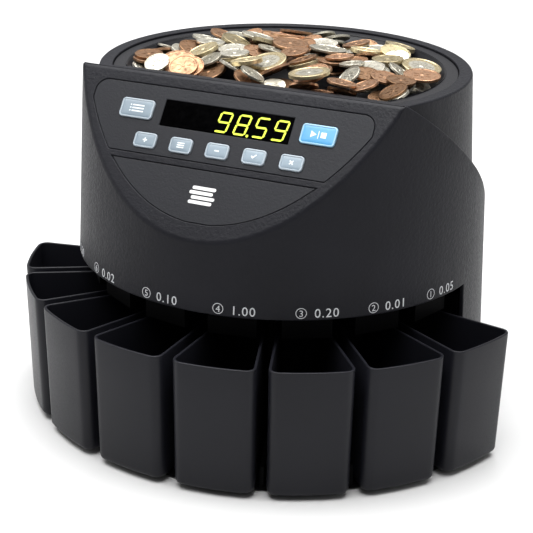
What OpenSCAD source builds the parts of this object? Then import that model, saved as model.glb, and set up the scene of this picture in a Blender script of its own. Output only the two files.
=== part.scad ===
// Desktop coin sorting machine: a round body with a coin hopper on top, a sloping
// control panel, a rotating sorting mechanism inside and eight pull-out cups in front.

/* [Body] */
// Outer radius of the body wall at floor level
body_r = 150.9; // [149:0.1:152]
// Inward lean of the body wall in degrees
body_lean = 2.04; // [1.6:0.01:2.4]
// Thickness of the moulded walls
wall = 2.5; // [2:0.1:3]
// Height of the lower edge of the front skirt
skirt_z = 114.7; // [114:0.1:120]
// Distance in front of the body axis where the side walls begin
side_wall_y = 17.5; // [16:0.1:19]
// Height of the flat rear shoulder
rear_shoulder_z = 150; // [148:0.5:156]
// Fall of the shoulder behind the panel, in degrees
shoulder_fall = 36.9; // [34:0.1:38]

/* [Control panel] */
// Height of the panel's top edge
panel_top_z = 252.3; // [250:0.1:254]
// Distance of the panel's top edge in front of the body axis
panel_top_y = 79.2; // [78:0.1:80]
// Slope of the panel from the horizontal in degrees
panel_slope = 53.6; // [52:0.1:55]
// Width of the display window
display_w = 94; // [90:0.5:96]
// Height of the display window
display_h = 18.8; // [17:0.2:20]
// Spacing of the small buttons
key_pitch = 26.7; // [25:0.1:27]
// Travel of each button
key_travel = 1.0; // [0.6:0.1:1]

/* [Hopper] */
// Outer radius of the hopper rim
rim_r = 130.8; // [130:0.1:132]
// Height of the hopper rim
rim_z = 248.9; // [247:0.1:250]
// Outward lean of the hopper drum towards its foot, in degrees
drum_lean = 3.2; // [2.8:0.1:3.4]
// Radius of the hopper's inner mouth
mouth_r = 112; // [108:0.5:113]
// Radius of the hopper's outlet neck
neck_r = 50; // [46:0.5:50]

/* [Cups] */
// Angle between neighbouring cups
cup_pitch = 19.65; // [19:0.05:20]
// Distance of the cups' common centre behind the body axis
fan_y = 8.9; // [7:0.1:10]
// Outer radius of the cups at their top
cup_r = 191.2; // [188:0.1:194]
// Outer radius of the cups at their bottom
cup_foot_r = 188; // [184:0.1:190]
// Radius of the cups' inner wall
cup_in_r = 97; // [96:0.5:100]
// Height of the cups' top edge
cup_top_z = 94.3; // [90:0.1:95]
// Gap between neighbouring cups
cup_gap = 7.5; // [7:0.1:9]
// Radius of a cup's upright corners
cup_corner = 7; // [5:0.5:9]
// Thickness of a cup wall
cup_wall = 2; // [1.6:0.1:2.4]

/* [Mechanism] */
// Module of the drive gears
gear_module = 1.5; // [1.5:0.1:1.5]
// Teeth on the drive gear
gear_teeth = 56; // [54:1:58]
// Teeth on the motor pinion
pinion_teeth = 14; // [14:1:16]
// Radius of the main shaft
shaft_r = 5; // [5:0.5:5]
// Number of pusher blades on the rotor
blade_count = 12; // [8:1:12]

/* [Hidden] */
$fn = 96;

charcoal = [0.21, 0.21, 0.23];
black = [0.07, 0.07, 0.08];
plate_grey = [0.62, 0.63, 0.65];

fit_gap = 0.3;              // clearance between separate mouldings
running_gap = 0.03;         // radial clearance of a shaft in its bore
base_bottom_z = 1.2;        // underside of the base plate and body wall
base_top_z = 3.0;
cup_bottom_z = 3.2;
deck_z = 116;               // underside of the mechanism deck
deck_t = 3;
rail_floor_z = deck_z + deck_t + 3;
rail_wall_z = 130;
rail_in_r = 100.5;
rail_track_r = 134;
rail_out_r = 138;
rear_y = 153.4;             // face of the rear boss behind the body axis
rear_reach = rear_y + 1.5;
front_reach = cup_r * cos(cup_gap / 2 / cup_r * 57.3 + 2.3) - fan_y;
axis_y = (front_reach - rear_reach) / 2;
drum_foot_z = 145.5;
edge_rise = 12;             // height of the fascias' curved edges above the panel's own
fascia_tip = 0.3;           // trimmed off the lower fascia's lowest point
panel_shift = wall / sin(panel_slope);
lip_y = panel_top_y - 3.2;  // rear edge of the flat strip along the panel's top
mesh_gap = 0.25;            // clearance around the hopper drum

key_w = 16.2;
key_h = 10.5;
big_key_w = 24.4;
big_key_h = 13.6;
key_v = 48.2;               // distance of the small buttons down the panel
big_key_v = 27;
big_key_x = 66.3;
display_v = 26.9;
fascia_top_w = -0.2;        // outer face of the fascias, measured out of the panel
fascia_bottom_w = -1.4;
key_top_w = 1.0;
board_w = -7.6;             // rear face of the front board
board_t = 1.6;

// Coin diameters in mm that set the widths of the eight sorting slots
coin_d = [18.0, 20.3, 21.4, 23.4, 24.5, 25.9, 27.3, 28.4];
slot_play = 0.4;
slot_half_w = 15;
bay_wall_r = 94.5;          // wall behind the cups, round the cups' common centre
bay_wall_z = 106;
bay_half = 80;              // angle from the front to each wing of that wall
bay_wing_r = 144.5;         // outer end of the wings
fan_plate_r = 175;          // front edge of the base plate, under the cups
fan_half = 3.9 * cup_pitch; // angle from the front to each end of that edge
slot_outer_r = rail_track_r - 2;

gear_r = gear_module * gear_teeth / 2;
pinion_r = gear_module * pinion_teeth / 2;
motor_y = gear_r + pinion_r;
gear_z = 72;
gear_h = 8;

pillar_spots = [[-60, -35], [60, -35], [-112, 8], [112, 8], [-40, 112], [40, 112]];
foot_spots = [[-118, -72], [118, -72], [0, -140], [-92, 92], [92, 92]];

function wall_r(z) = body_r - z * tan(body_lean);
function drum_r(z) = rim_r + (rim_z - z) * tan(drum_lean);
function panel_y(z) = -panel_top_y - (panel_top_z - z) / tan(panel_slope);
function cup_angle(i) = (4.5 - i) * cup_pitch;
// Distance from the cups' common centre to the point of cup i's centre line above the track
function drop_d(i, r) = fan_y * cos(cup_angle(i)) + sqrt(pow(r, 2) - pow(fan_y * sin(cup_angle(i)), 2));
function drop_angle(i) = let (d = drop_d(i, 118))
    atan2(d * sin(cup_angle(i)), d * cos(cup_angle(i)) - fan_y);

module on_axis() translate([0, axis_y, 0]) children();

// Local X runs across the panel, local Y up the slope, local Z out of it; v is measured
// down the slope from the top edge
module on_panel(x, v) on_axis() translate([0, -panel_top_y, panel_top_z])
    rotate([panel_slope, 0, 0]) translate([x, -v, 0]) children();

module at_cup(i) on_axis() translate([0, fan_y, 0]) rotate([0, 0, cup_angle(i)]) children();

// Local -Y points outwards over the middle of slot i
module at_slot(i) rotate([0, 0, drop_angle(i)]) children();

// A plate between heights z1 and z2
module slab(z1, z2) translate([0, 0, z1]) linear_extrude(z2 - z1) children();

module ring(r_in, r_out, z1, z2) slab(z1, z2) difference() {
    circle(r_out);
    circle(r_in);
}

module box(x1, x2, y1, y2, z1, z2) translate([x1, y1, z1]) cube([x2 - x1, y2 - y1, z2 - z1]);

module round_rect(w, h, r) {
    square([w - 2 * r, h], center = true);
    square([w, h - 2 * r], center = true);
    for (x = [-1, 1], y = [-1, 1]) translate([x * (w / 2 - r), y * (h / 2 - r)]) circle(r);
}

// ---------- body ----------

// The body's outer form, shrunk by t on every face
module body_form(t) intersection() {
    translate([0, 0, -5]) cylinder(h = 305, r1 = wall_r(-5) - t, r2 = wall_r(300) - t);
    rotate([90, 0, 90]) translate([0, 0, -200]) linear_extrude(400) body_side(t);
}

module body_side(t) {
    top = panel_top_z - t;
    front = panel_y(140) + t / sin(panel_slope);
    edge = panel_y(top) + t / sin(panel_slope);
    lip = -lip_y - t * tan(shoulder_fall / 2);
    flat_z = rear_shoulder_z - t;
    flat_y = lip + (top - flat_z) / tan(shoulder_fall);
    polygon([[front, 140], [-170, 140], [-170, -5], [170, -5], [170, flat_z],
             [flat_y, flat_z], [lip, top], [edge, top]]);
}

module drum_form(t) translate([0, 0, drum_foot_z])
    cylinder(h = 120, r1 = drum_r(drum_foot_z) - t, r2 = drum_r(drum_foot_z + 120) - t);

// Half width of the panel where it meets the body wall, v down the slope
function panel_half(v) = let (y = panel_top_y + v * cos(panel_slope), z = panel_top_z - v * sin(panel_slope))
    sqrt(max(0, pow(wall_r(z), 2) - pow(y, 2)));

// Distance down the slope to the panel's lowest point, on the front of the body wall
panel_end_v = (wall_r(panel_top_z) - panel_top_y) / (cos(panel_slope) - sin(panel_slope) * tan(body_lean));

// Polygon with the points of its right half given from top to bottom
module mirrored(right) polygon(concat(right, [for (k = [len(right) - 1 : -1 : 0]) [-right[k][0], right[k][1]]]));

// Outline of the upper fascia, x across and y up the slope. Both fascias follow the panel's
// own curved edge, moved up the slope by edge_rise
module upper_outline(g) {
    top = 8.5 + g;
    low = 57.7 - g;
    half = 102 - g;
    r = 9 - g;
    side_v = 23;
    mirrored(concat(
        [for (k = [0 : 8]) [half - r + r * sin(90 * k / 8), -top - r + r * cos(90 * k / 8)]],
        [for (k = [0 : 10]) let (v = side_v + (low - side_v) * k / 10)
            [min(half, panel_half(v + edge_rise) - g), -v]]));
}

// Outline of the lower fascia: straight on top, bounded below by the panel's curve
module lower_outline(g) {
    top = 62.2 + g;
    low = panel_end_v - edge_rise - g - fascia_tip;
    mirrored([for (k = [0 : 16]) let (v = low - (low - top) * pow(1 - k / 16, 2))
        [panel_half(v + edge_rise + g * cos(panel_slope)) - g * cos(panel_slope), -v]]);
}

module main_housing() color(charcoal) on_axis() difference() {
    union() {
        difference() {
            body_form(0);
            body_form(wall);
        }
        intersection() {
            body_form(wall / 2);
            ring(129, 160, drum_foot_z - 3, drum_foot_z);
        }
        box(-60, 60, 128, rear_y, 12, 88);
    }
    box(-57.5, 57.5, 120, rear_y - 6, 14.5, 85.5);
    box(-52, 52, 130, rear_y + 1, 18, 82);
    box(-54, 54, rear_y - 3, rear_y + 1, 16, 84);
    box(-200, 200, -200, 200, -20, base_bottom_z);
    box(-200, 200, -200, -side_wall_y, -20, skirt_z);
    intersection() {
        drum_form(-mesh_gap);
        box(-200, 200, -panel_top_y + 3.9, 200, drum_foot_z, 300);
    }
    translate([0, -panel_top_y, panel_top_z]) rotate([panel_slope, 0, 0]) {
        slab(fascia_bottom_w, 5) upper_outline(0);
        slab(fascia_bottom_w, 5) lower_outline(0);
        intersection() {
            slab(-10, 5) translate([0, -36.4]) square([166, 40], center = true);
            slab(-11, 6) upper_outline(1.5);
        }
    }
}

module mouth_side(y, z1, z2) box(-200, 200, y, 200, z1, z2);

module hopper_drum() color(charcoal) on_axis() {
    front = -panel_top_y + 4.2;
    difference() {
        intersection() {
            drum_form(0);
            mouth_side(front, drum_foot_z, rim_z);
        }
        difference() {
            intersection() {
                drum_form(wall);
                mouth_side(front + wall, drum_foot_z - 1, rim_z - wall);
            }
            intersection() {
                ring(116.5, 140, 242.4, 244.9);
                mouth_side(-200, 240, 250);
            }
            box(-125, 125, -80, -58, 242.4, 244.9);
        }
        intersection() {
            cylinder(h = 300, r = 121.3);
            mouth_side(-62, 244.9, 300);
        }
        intersection() {
            cylinder(h = 300, r = 116.5);
            mouth_side(-58, 200, 246);
        }
        box(-200, 200, -90, -60, 100, 236);
    }
}

module funnel(g) {
    translate([0, 0, 176]) cylinder(h = 71.4, r1 = neck_r + g, r2 = mouth_r + g);
    slab(140, 176) circle(neck_r + g);
}

module hopper_bowl() color(black) on_axis() difference() {
    union() {
        intersection() {
            funnel(wall);
            mouth_side(-54 - wall, 100, 247.4);
        }
        intersection() {
            slab(244.9, 247.4) circle(121);
            mouth_side(-61.7, 200, 300);
        }
    }
    intersection() {
        union() {
            funnel(0);
            slab(247.3, 260) circle(mouth_r);
            slab(130, 141) circle(neck_r);
        }
        mouth_side(-54, 100, 300);
    }
}

// ---------- panel ----------

module key_hole(x, v, w, h, g) translate([x, -v]) round_rect(w + 2 * g, h + 2 * g, 2.4 + g);

module all_key_holes(g) {
    for (k = [-2 : 2]) key_hole(k * key_pitch, key_v, key_w, key_h, g);
    for (s = [-1, 1]) key_hole(s * big_key_x, big_key_v, big_key_w, big_key_h, g);
}

module control_fascia() color(charcoal) on_panel(0, 0) slab(fascia_bottom_w, fascia_top_w) difference() {
    upper_outline(fit_gap);
    all_key_holes(fit_gap);
    translate([0, -display_v]) square([display_w, display_h], center = true);
}

module lower_fascia() color(charcoal) on_panel(0, 0) slab(fascia_bottom_w, fascia_top_w)
    lower_outline(fit_gap);

module display_window() color("black") on_panel(0, display_v) difference() {
    slab(fascia_bottom_w, fascia_top_w - 0.1)
        square([display_w - 2 * fit_gap, display_h - 2 * fit_gap], center = true);
}

module display_module() color([0.15, 0.15, 0.15]) on_panel(0, display_v) difference() {
    slab(board_w + board_t, -2.0) square([92, 18], center = true);
    for (k = [-2 : 2]) translate([k * 17, 0]) slab(-2.8, -1) square([12, 15], center = true);
}

// A button cap with its retaining flange and stem
module key(x, v, w, h) on_panel(x, v) {
    slab(-1.8, key_top_w) round_rect(w, h, 2.4);
    slab(-3.0, -1.8) round_rect(w + 2, h + 2, 3);
    slab(board_w + board_t + 0.9 + key_travel + 0.1, -3.0) circle(3);
}

module button_report() color([0.55, 0.6, 0.66]) key(-big_key_x, big_key_v, big_key_w, big_key_h);
module button_start_stop() color([0.35, 0.7, 0.93]) key(big_key_x, big_key_v, big_key_w, big_key_h);
module small_key(k) color([0.55, 0.6, 0.66]) key(k * key_pitch, key_v, key_w, key_h);
module button_plus() small_key(-2);
module button_batch() small_key(-1);
module button_minus() small_key(0);
module button_set() small_key(1);
module button_clear() small_key(2);

module front_board() color("darkgreen") on_panel(0, 36.4)
    slab(board_w, board_w + board_t) square([164, 38.6], center = true);

module switch_domes() color("silver") {
    for (k = [-2 : 2]) on_panel(k * key_pitch, key_v) dome();
    for (s = [-1, 1]) on_panel(s * big_key_x, big_key_v) dome();
}

module dome() translate([0, 0, board_w + board_t]) cylinder(h = 0.8, r1 = 4, r2 = 2.6);

// Posts that carry the front board behind the fascia and the mainboard behind the body wall
module board_posts() color("gray") on_panel(0, 0) for (s = [-1, 1]) {
    for (p = [[50, 27], [72, 50]]) translate([s * p[0], -p[1], 0])
        slab(board_w + board_t, fascia_bottom_w) circle(1.5);
    for (v = [66, 90]) translate([s * 44, -v, 0]) slab(-14, -wall) circle(2);
}

module mainboard() color("darkgreen") on_panel(0, 0) {
    slab(-15.6, -14) translate([0, -78]) square([96, 30], center = true);
    slab(-14, -11) translate([-24, -78]) square([14, 14], center = true);
    slab(-14, -12) translate([4, -80]) square([22, 8], center = true);
    for (k = [0 : 2]) slab(-14, -9) translate([24 + 8 * k, -84]) circle(3);
    slab(-14, -8) translate([0, -68]) square([34, 5], center = true);
}

module ribbon_cable() color("gray") on_panel(0, 0) {
    slab(-13.2, board_w) translate([0, -53.5]) square([30, 1], center = true);
    slab(-14, -13.2) translate([0, -59]) square([30, 12], center = true);
    slab(-13.2, -7.2) translate([0, -64.5]) square([30, 1], center = true);
    slab(-8, -7.2) translate([0, -66.5]) square([30, 3], center = true);
}

// ---------- base ----------

// Sector in front of the cups' common centre, half degrees to either side
module front_sector(half) polygon([[0, 0], [200 * tan(half), -200], [-200 * tan(half), -200]]);

// Wall between the cups and the mechanism, with a wing on each side that reaches the body wall
module bay_wall() translate([0, fan_y, 0]) {
    slab(base_bottom_z + 0.6, bay_wall_z) intersection() {
        difference() {
            circle(bay_wall_r);
            circle(bay_wall_r - wall);
        }
        front_sector(bay_half + 1);
    }
    for (s = [-1, 1]) rotate([0, 0, s * bay_half])
        box(-wall / 2, wall / 2, -bay_wing_r, -bay_wall_r + wall / 2, base_bottom_z + 0.6, bay_wall_z);
}

module base_plate() color(black) on_axis() {
    bay_wall();
    difference() {
        union() {
            slab(base_bottom_z, base_top_z) circle(wall_r(0) - wall - 0.6);
            translate([0, fan_y, 0]) slab(base_bottom_z, base_top_z) intersection() {
                circle(fan_plate_r);
                front_sector(fan_half);
            }
        }
        for (p = pillar_spots) translate([p[0], p[1], 0]) cylinder(h = 10, r = 2.2);
    }
    for (k = [-3 : 3]) translate([0, fan_y, 0]) rotate([0, 0, k * cup_pitch])
        box(-1.3, 1.3, -fan_plate_r + 0.5, -100, base_bottom_z + 0.6, 18);
}

module rubber_feet() color([0.1, 0.1, 0.1]) on_axis()
    for (p = foot_spots) translate([p[0], p[1], 0]) cylinder(h = base_bottom_z, r = 9);

// ---------- cups ----------

// One rounded corner: p is its centre, a and b point from it to the two walls it joins
module corner_cut(p, a, b, r) polygon([p, p + r * a, p + 3 * r * (a + b), p + r * b]);

module cup_outline(inset) {
    half = cup_pitch / 2;
    r = cup_corner - inset;
    offs = cup_gap / 2 + inset;
    near = cup_in_r + inset;
    far = cup_r + 20;
    side = offs / cos(half);
    r_out = cup_r - inset;
    front = sqrt(pow(r_out - r, 2) - pow(offs + r, 2));
    back_x = (near + r) * tan(half) - (offs + r) / cos(half);
    for (s = [-1, 1]) mirror([s < 0 ? 1 : 0, 0]) {
        out = [sin(half), -cos(half)];
        across = [cos(half), sin(half)];
        outer = front * out - (offs + r) * across;
        inner = [back_x, -near - r];
        difference() {
            intersection() {
                circle(r_out);
                polygon([[0, -near], [near * tan(half) - side, -near],
                         [far * tan(half) - side, -far], [0, -far]]);
            }
            corner_cut(outer, across, outer / norm(outer), r);
            corner_cut(inner, across, [0, 1], r);
        }
        translate(outer) circle(r);
        translate(inner) circle(r);
    }
}

module cup_block(inset, z1, z2) intersection() {
    translate([0, 0, z1]) linear_extrude(z2 - z1) cup_outline(inset);
    translate([0, 0, cup_bottom_z - 0.1]) cylinder(h = cup_top_z - cup_bottom_z + 0.1,
        r1 = cup_foot_r - inset, r2 = cup_r - inset);
}

module cup(i) color(black) at_cup(i) difference() {
    cup_block(0, cup_bottom_z, cup_top_z);
    cup_block(cup_wall, cup_bottom_z + cup_wall, cup_top_z);
    translate([0, 0, cup_top_z - 0.5]) linear_extrude(1) cup_outline(cup_wall);
}

module cup_1() cup(1);
module cup_2() cup(2);
module cup_3() cup(3);
module cup_4() cup(4);
module cup_5() cup(5);
module cup_6() cup(6);
module cup_7() cup(7);
module cup_8() cup(8);

// ---------- sorting mechanism ----------

module mechanism_deck() color(plate_grey) on_axis() difference() {
    slab(deck_z, deck_z + deck_t) circle(140.5);
    translate([0, 0, deck_z - 1]) cylinder(h = deck_t + 2, r = 14);
    for (i = [1 : 8]) at_slot(i) box(-slot_half_w - 1, slot_half_w + 1, -rail_track_r - 0.5,
                                     -rail_in_r - 0.5, deck_z - 1, deck_z + deck_t + 1);
    for (p = pillar_spots) translate([p[0], p[1], deck_z - 1]) {
        cylinder(h = deck_t + 2, r = 2.2);
        translate([0, 0, 2]) cylinder(h = 10, r = 4.2);
    }
}

module support_pillars() color("silver") on_axis() for (p = pillar_spots)
    translate([p[0], p[1], base_top_z]) difference() {
        cylinder(h = deck_z - base_top_z, r = 5);
        translate([0, 0, -1]) cylinder(h = 16, r = 2.2);
        translate([0, 0, deck_z - base_top_z - 15]) cylinder(h = 16, r = 2.2);
    }

module deck_screws() color("silver") on_axis() for (p = pillar_spots) translate([p[0], p[1], 0]) {
    translate([0, 0, deck_z - 12]) cylinder(h = 13, r = 2);
    translate([0, 0, deck_z + 1]) cylinder(h = deck_t - 1, r = 4);
}

module base_screws() color("silver") on_axis() for (p = pillar_spots) translate([p[0], p[1], 0]) {
    translate([0, 0, 0.3]) cylinder(h = base_bottom_z - 0.3, r = 4);
    translate([0, 0, base_bottom_z]) cylinder(h = 13, r = 2);
}

module sorting_rail() color("silver") on_axis() difference() {
    union() {
        ring(rail_in_r, rail_out_r, deck_z + deck_t, rail_floor_z);
        ring(rail_track_r, rail_out_r, rail_floor_z - 1, rail_wall_z);
    }
    for (i = [1 : 8]) at_slot(i)
        box(-slot_half_w, slot_half_w, -slot_outer_r, -slot_outer_r + coin_d[i - 1] + slot_play,
            deck_z, rail_floor_z + 1);
}

module track_cover() color(black) on_axis() {
    ring(neck_r, rail_out_r, rail_wall_z, rail_wall_z + 2);
    ring(neck_r + wall + fit_gap, neck_r + 2 * wall + fit_gap, rail_wall_z + 2, 152);
    ring(neck_r, neck_r + wall + fit_gap, rail_wall_z + 2, 140);
}

module chute_ring() color(black) on_axis() {
    difference() {
        union() {
            intersection() {
                ring(92, 139.5, deck_z - 2, deck_z);
                box(-200, 200, -200, 2, 0, 200);
            }
            for (i = [1 : 8]) at_slot(i)
                box(-slot_half_w - 1.7, slot_half_w + 1.7, -136, -100, 97.5, deck_z - 1);
        }
        for (i = [1 : 8]) at_slot(i)
            box(-slot_half_w - 0.2, slot_half_w + 0.2, -134.4, -101.6, 90, deck_z + 1);
    }
}

module sensor_board() color("darkgreen") on_axis() intersection() {
    ring(84, 91.5, deck_z - 1.6, deck_z);
    box(-200, 200, -200, 20, 0, 200);
}

module coin_sensors() color("black") on_axis() for (i = [1 : 8]) at_slot(i)
    box(-4, 4, -91, -85, deck_z - 9, deck_z - 1.6);

module feed_disc() color("silver") on_axis() difference() {
    union() {
        ring(shaft_r, 99.5, rail_floor_z - 1.7, rail_floor_z + 0.3);
        ring(shaft_r, 11, deck_z + 0.5, rail_floor_z - 1.7);
    }
}

module pusher_blades() color("orange") on_axis() for (k = [0 : blade_count - 1])
    rotate([0, 0, k * 360 / blade_count + 5]) {
        box(-1.5, 1.5, -132, -50, rail_floor_z + 0.9, rail_floor_z + 5.5);
        box(-1.5, 1.5, -98, -50, rail_floor_z + 0.3, rail_floor_z + 0.9);
    }

module rotor_cone() color(black) on_axis() rotate_extrude() polygon([
    [shaft_r, rail_floor_z + 0.3], [44, rail_floor_z + 0.3], [44, rail_floor_z + 2.3],
    [18, 136], [10, 139], [shaft_r, 139]]);

module rotor_nut() color("silver") on_axis() rotate_extrude() polygon([
    [shaft_r, 139], [9, 139], [9, 144], [6, 147], [0, 147], [0, 145], [shaft_r, 145]]);

module main_shaft() color("silver") on_axis() translate([0, 0, gear_z - 6])
    cylinder(h = 145 - gear_z + 6, r = shaft_r);

module bearing(z) translate([0, 0, z]) {
    ring(shaft_r + running_gap, 8.5, 0, 9);
    ring(11.8, 15, 0, 9);
    ring(8.5, 11.8, 1, 8);
}

module upper_bearing() color("silver") on_axis() bearing(106);
module lower_bearing() color("silver") on_axis() bearing(86);

module bearing_housing() color(plate_grey) on_axis() difference() {
    union() {
        slab(84, deck_z) circle(19);
        slab(deck_z - 4, deck_z) circle(30);
    }
    translate([0, 0, 106]) cylinder(h = 20, r = 15);
    translate([0, 0, 80]) cylinder(h = 15, r = 15);
    translate([0, 0, 80]) cylinder(h = 40, r = 12.5);
}

// Points of one involute tooth flank, from the base circle to the tip
function involute(base_r, tip_r, turn, side) = let (t_end = sqrt(pow(tip_r / base_r, 2) - 1))
    [for (k = [0 : 4]) let (t = t_end * k / 4, a = side * (t * 57.2958 - atan(t)) + turn,
        r = base_r * sqrt(1 + t * t)) [r * cos(a), r * sin(a)]];

module spur(teeth, bore_r, h, turn) linear_extrude(h) difference() {
    pitch_r = gear_module * teeth / 2;
    base_r = pitch_r * cos(20);
    tip_r = pitch_r + 0.85 * gear_module;
    root_r = pitch_r - 1.2 * gear_module;
    play = 0.25 / pitch_r * 57.3;
    half = 90 / teeth - play + tan(20) * 57.2958 - 20;
    step = 360 / teeth;
    polygon([for (k = [0 : teeth - 1]) let (mid = k * step + turn,
        right = involute(base_r, tip_r, mid - half, 1), left = involute(base_r, tip_r, mid + half, -1))
        each concat([[root_r * cos(mid - half), root_r * sin(mid - half)]], right,
            [for (j = [4 : -1 : 0]) left[j]], [[root_r * cos(mid + half), root_r * sin(mid + half)]])]);
    circle(bore_r);
}

module drive_gear() color("ivory") on_axis() difference() {
    union() {
        translate([0, 0, gear_z]) spur(gear_teeth, shaft_r, gear_h, 90);
        ring(shaft_r, 10, gear_z - 4, gear_z);
    }
}

module motor_pinion() color("ivory") on_axis() translate([0, motor_y, gear_z - 0.5])
    spur(pinion_teeth, 3, gear_h + 1, 90 + 180 / pinion_teeth);

module motor_shaft() color("silver") on_axis() translate([0, motor_y, 45])
    cylinder(h = gear_z + gear_h + 2 - 45, r = 3);

module motor() color([0.35, 0.35, 0.37]) on_axis() translate([0, motor_y, 0]) difference() {
    union() {
        slab(9, 60) circle(28);
        slab(60, 63) circle(26);
        slab(63, 67) circle(10);
    }
    slab(44, 70) circle(3 + running_gap);
}

module motor_bracket() color(plate_grey) on_axis() translate([0, motor_y, 0]) difference() {
    union() {
        box(-34, 34, -30, 30, 63, 66);
        for (s = [-1, 1]) {
            box(s * 32.5 - 1.5, s * 32.5 + 1.5, -30, 30, base_top_z, 63);
        }
        box(-34, 34, -30, 30, base_top_z, base_top_z + 2);
    }
    slab(0, 70) circle(10.3);
}

// ---------- power ----------

module power_supply() color("silver") on_axis() {
    box(42, 98, 44, 92, base_top_z, base_top_z + 3);
    box(50, 90, 48, 88, base_top_z + 3, 44);
    for (s = [-1, 1]) box(70 + s * 15 - 4, 70 + s * 15 + 4, 54, 82, 44, 49);
}

module supply_cover() color(plate_grey) on_axis() difference() {
    box(46, 94, 45, 91, base_top_z + 3, 54);
    box(47.5, 92.5, 44, 92, base_top_z + 2, 52.5);
}

module rear_hole_inlet(g) translate([-32, 50]) square([28 + 2 * g, 20 + 2 * g], center = true);
module rear_hole_switch(g) translate([2, 50]) square([13.6 + 2 * g, 20 + 2 * g], center = true);
module rear_hole_data(g) translate([30, 50]) square([14 + 2 * g, 12 + 2 * g], center = true);
module rear_hole_fuse(g) translate([30, 72]) circle(6.2 + g);

// Drawn in x and z on the rear face, y measured back from the body axis
module on_rear(y1, y2) on_axis() translate([0, y2, 0]) rotate([90, 0, 0])
    linear_extrude(y2 - y1) children();

rear_screw_spots = [[-48, 22], [48, 22], [-48, 78], [48, 78]];

module rear_panel() color(charcoal) on_rear(rear_y - 3, rear_y - 0.2) difference() {
    translate([0, 50]) square([107.4, 67.4], center = true);
    rear_hole_inlet(0.15);
    rear_hole_switch(0.15);
    rear_hole_data(0.15);
    rear_hole_fuse(0.15);
    for (p = rear_screw_spots) translate(p) circle(1.7);
}

module rear_screws() color("silver") {
    for (p = rear_screw_spots) {
        on_rear(rear_y - 0.2, rear_y + 1) translate(p) circle(3);
        on_rear(rear_y - 3, rear_y - 0.2) translate(p) circle(1.5);
    }
}

module power_inlet() color("black") {
    difference() {
        union() {
            on_rear(rear_y - 24, rear_y - 0.2) rear_hole_inlet(0);
            on_rear(rear_y - 0.2, rear_reach) translate([-32, 50]) round_rect(32, 24, 3);
        }
        on_rear(rear_y - 16, rear_reach + 1) translate([-32, 50]) polygon([
            [-12, -8], [12, -8], [12, 4], [7.5, 8.5], [-7.5, 8.5], [-12, 4]]);
    }
    for (x = [-7, 0, 7]) on_rear(rear_y - 16, rear_y - 4)
        translate([-32 + x, x == 0 ? 52.5 : 48.5]) square([2, 4], center = true);
}

module switch_frame() color("black") difference() {
    union() {
        on_rear(rear_y - 16, rear_y - 0.2) rear_hole_switch(0);
        on_rear(rear_y - 0.2, rear_reach) translate([2, 50]) round_rect(17, 24, 2);
    }
    on_rear(rear_y - 12, rear_reach + 1) translate([2, 50]) square([11, 18.4], center = true);
    at_rocker() rocker_pivot(7, rocker_pin_r + running_gap);
}

rocker_tilt = 7;
rocker_w = 10.4;
rocker_pin_r = 1.4;

module at_rocker() on_axis() translate([2, rear_y - 3, 50]) children();

module rocker_pivot(half, r) translate([-half, 0, 0]) rotate([0, 90, 0]) cylinder(h = 2 * half, r = r);

module power_rocker() color([0.12, 0.12, 0.12]) at_rocker() {
    rotate([-rocker_tilt, 0, 0]) rotate([90, 0, 90]) translate([0, 0, -rocker_w / 2])
        linear_extrude(rocker_w) polygon([[-3.5, -8.2], [2.9, -8.2], [2, 0], [2.9, 8.2], [-3.5, 8.2]]);
    rocker_pivot(6.6, rocker_pin_r);
}

module data_port() color([0.2, 0.2, 0.2]) difference() {
    on_rear(rear_y - 14, rear_y + 0.6) rear_hole_data(0);
    on_rear(rear_y - 11, rear_y + 2) translate([30, 50]) {
        square([11, 7], center = true);
        translate([0, -4]) square([5, 3], center = true);
    }
}

module fuse_cap() color("black") difference() {
    union() {
        on_rear(rear_y - 20, rear_y - 0.2) rear_hole_fuse(0);
        on_rear(rear_y - 0.2, rear_y + 1.3) translate([30, 72]) circle(8);
    }
    on_rear(rear_y + 0.4, rear_y + 2) translate([30, 72]) square([10, 1.6], center = true);
}

main_housing();
hopper_drum();
hopper_bowl();
track_cover();
control_fascia();
lower_fascia();
display_window();
display_module();
button_report();
button_start_stop();
button_plus();
button_batch();
button_minus();
button_set();
button_clear();
front_board();
switch_domes();
board_posts();
mainboard();
ribbon_cable();
base_plate();
rubber_feet();
cup_1();
cup_2();
cup_3();
cup_4();
cup_5();
cup_6();
cup_7();
cup_8();
mechanism_deck();
support_pillars();
deck_screws();
base_screws();
sorting_rail();
chute_ring();
sensor_board();
coin_sensors();
feed_disc();
pusher_blades();
rotor_cone();
rotor_nut();
main_shaft();
upper_bearing();
lower_bearing();
bearing_housing();
drive_gear();
motor_pinion();
motor_shaft();
motor();
motor_bracket();
power_supply();
supply_cover();
rear_panel();
power_inlet();
switch_frame();
power_rocker();
data_port();
fuse_cap();
rear_screws();
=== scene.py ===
"""Looks of the coin sorting machine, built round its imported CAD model.

Panel pieces are placed with panel_matrix(x, v, w): x across the sloping panel, v down the
slope from its top edge and w out of it. Round pieces are placed about the body's own axis,
with angles measured from the front, positive to the right. Lengths are in millimetres until
a mesh is made, and in metres in the frame.
"""
import math
import random

import bmesh
import bpy
import numpy as np
from mathutils import Matrix, Vector


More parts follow.
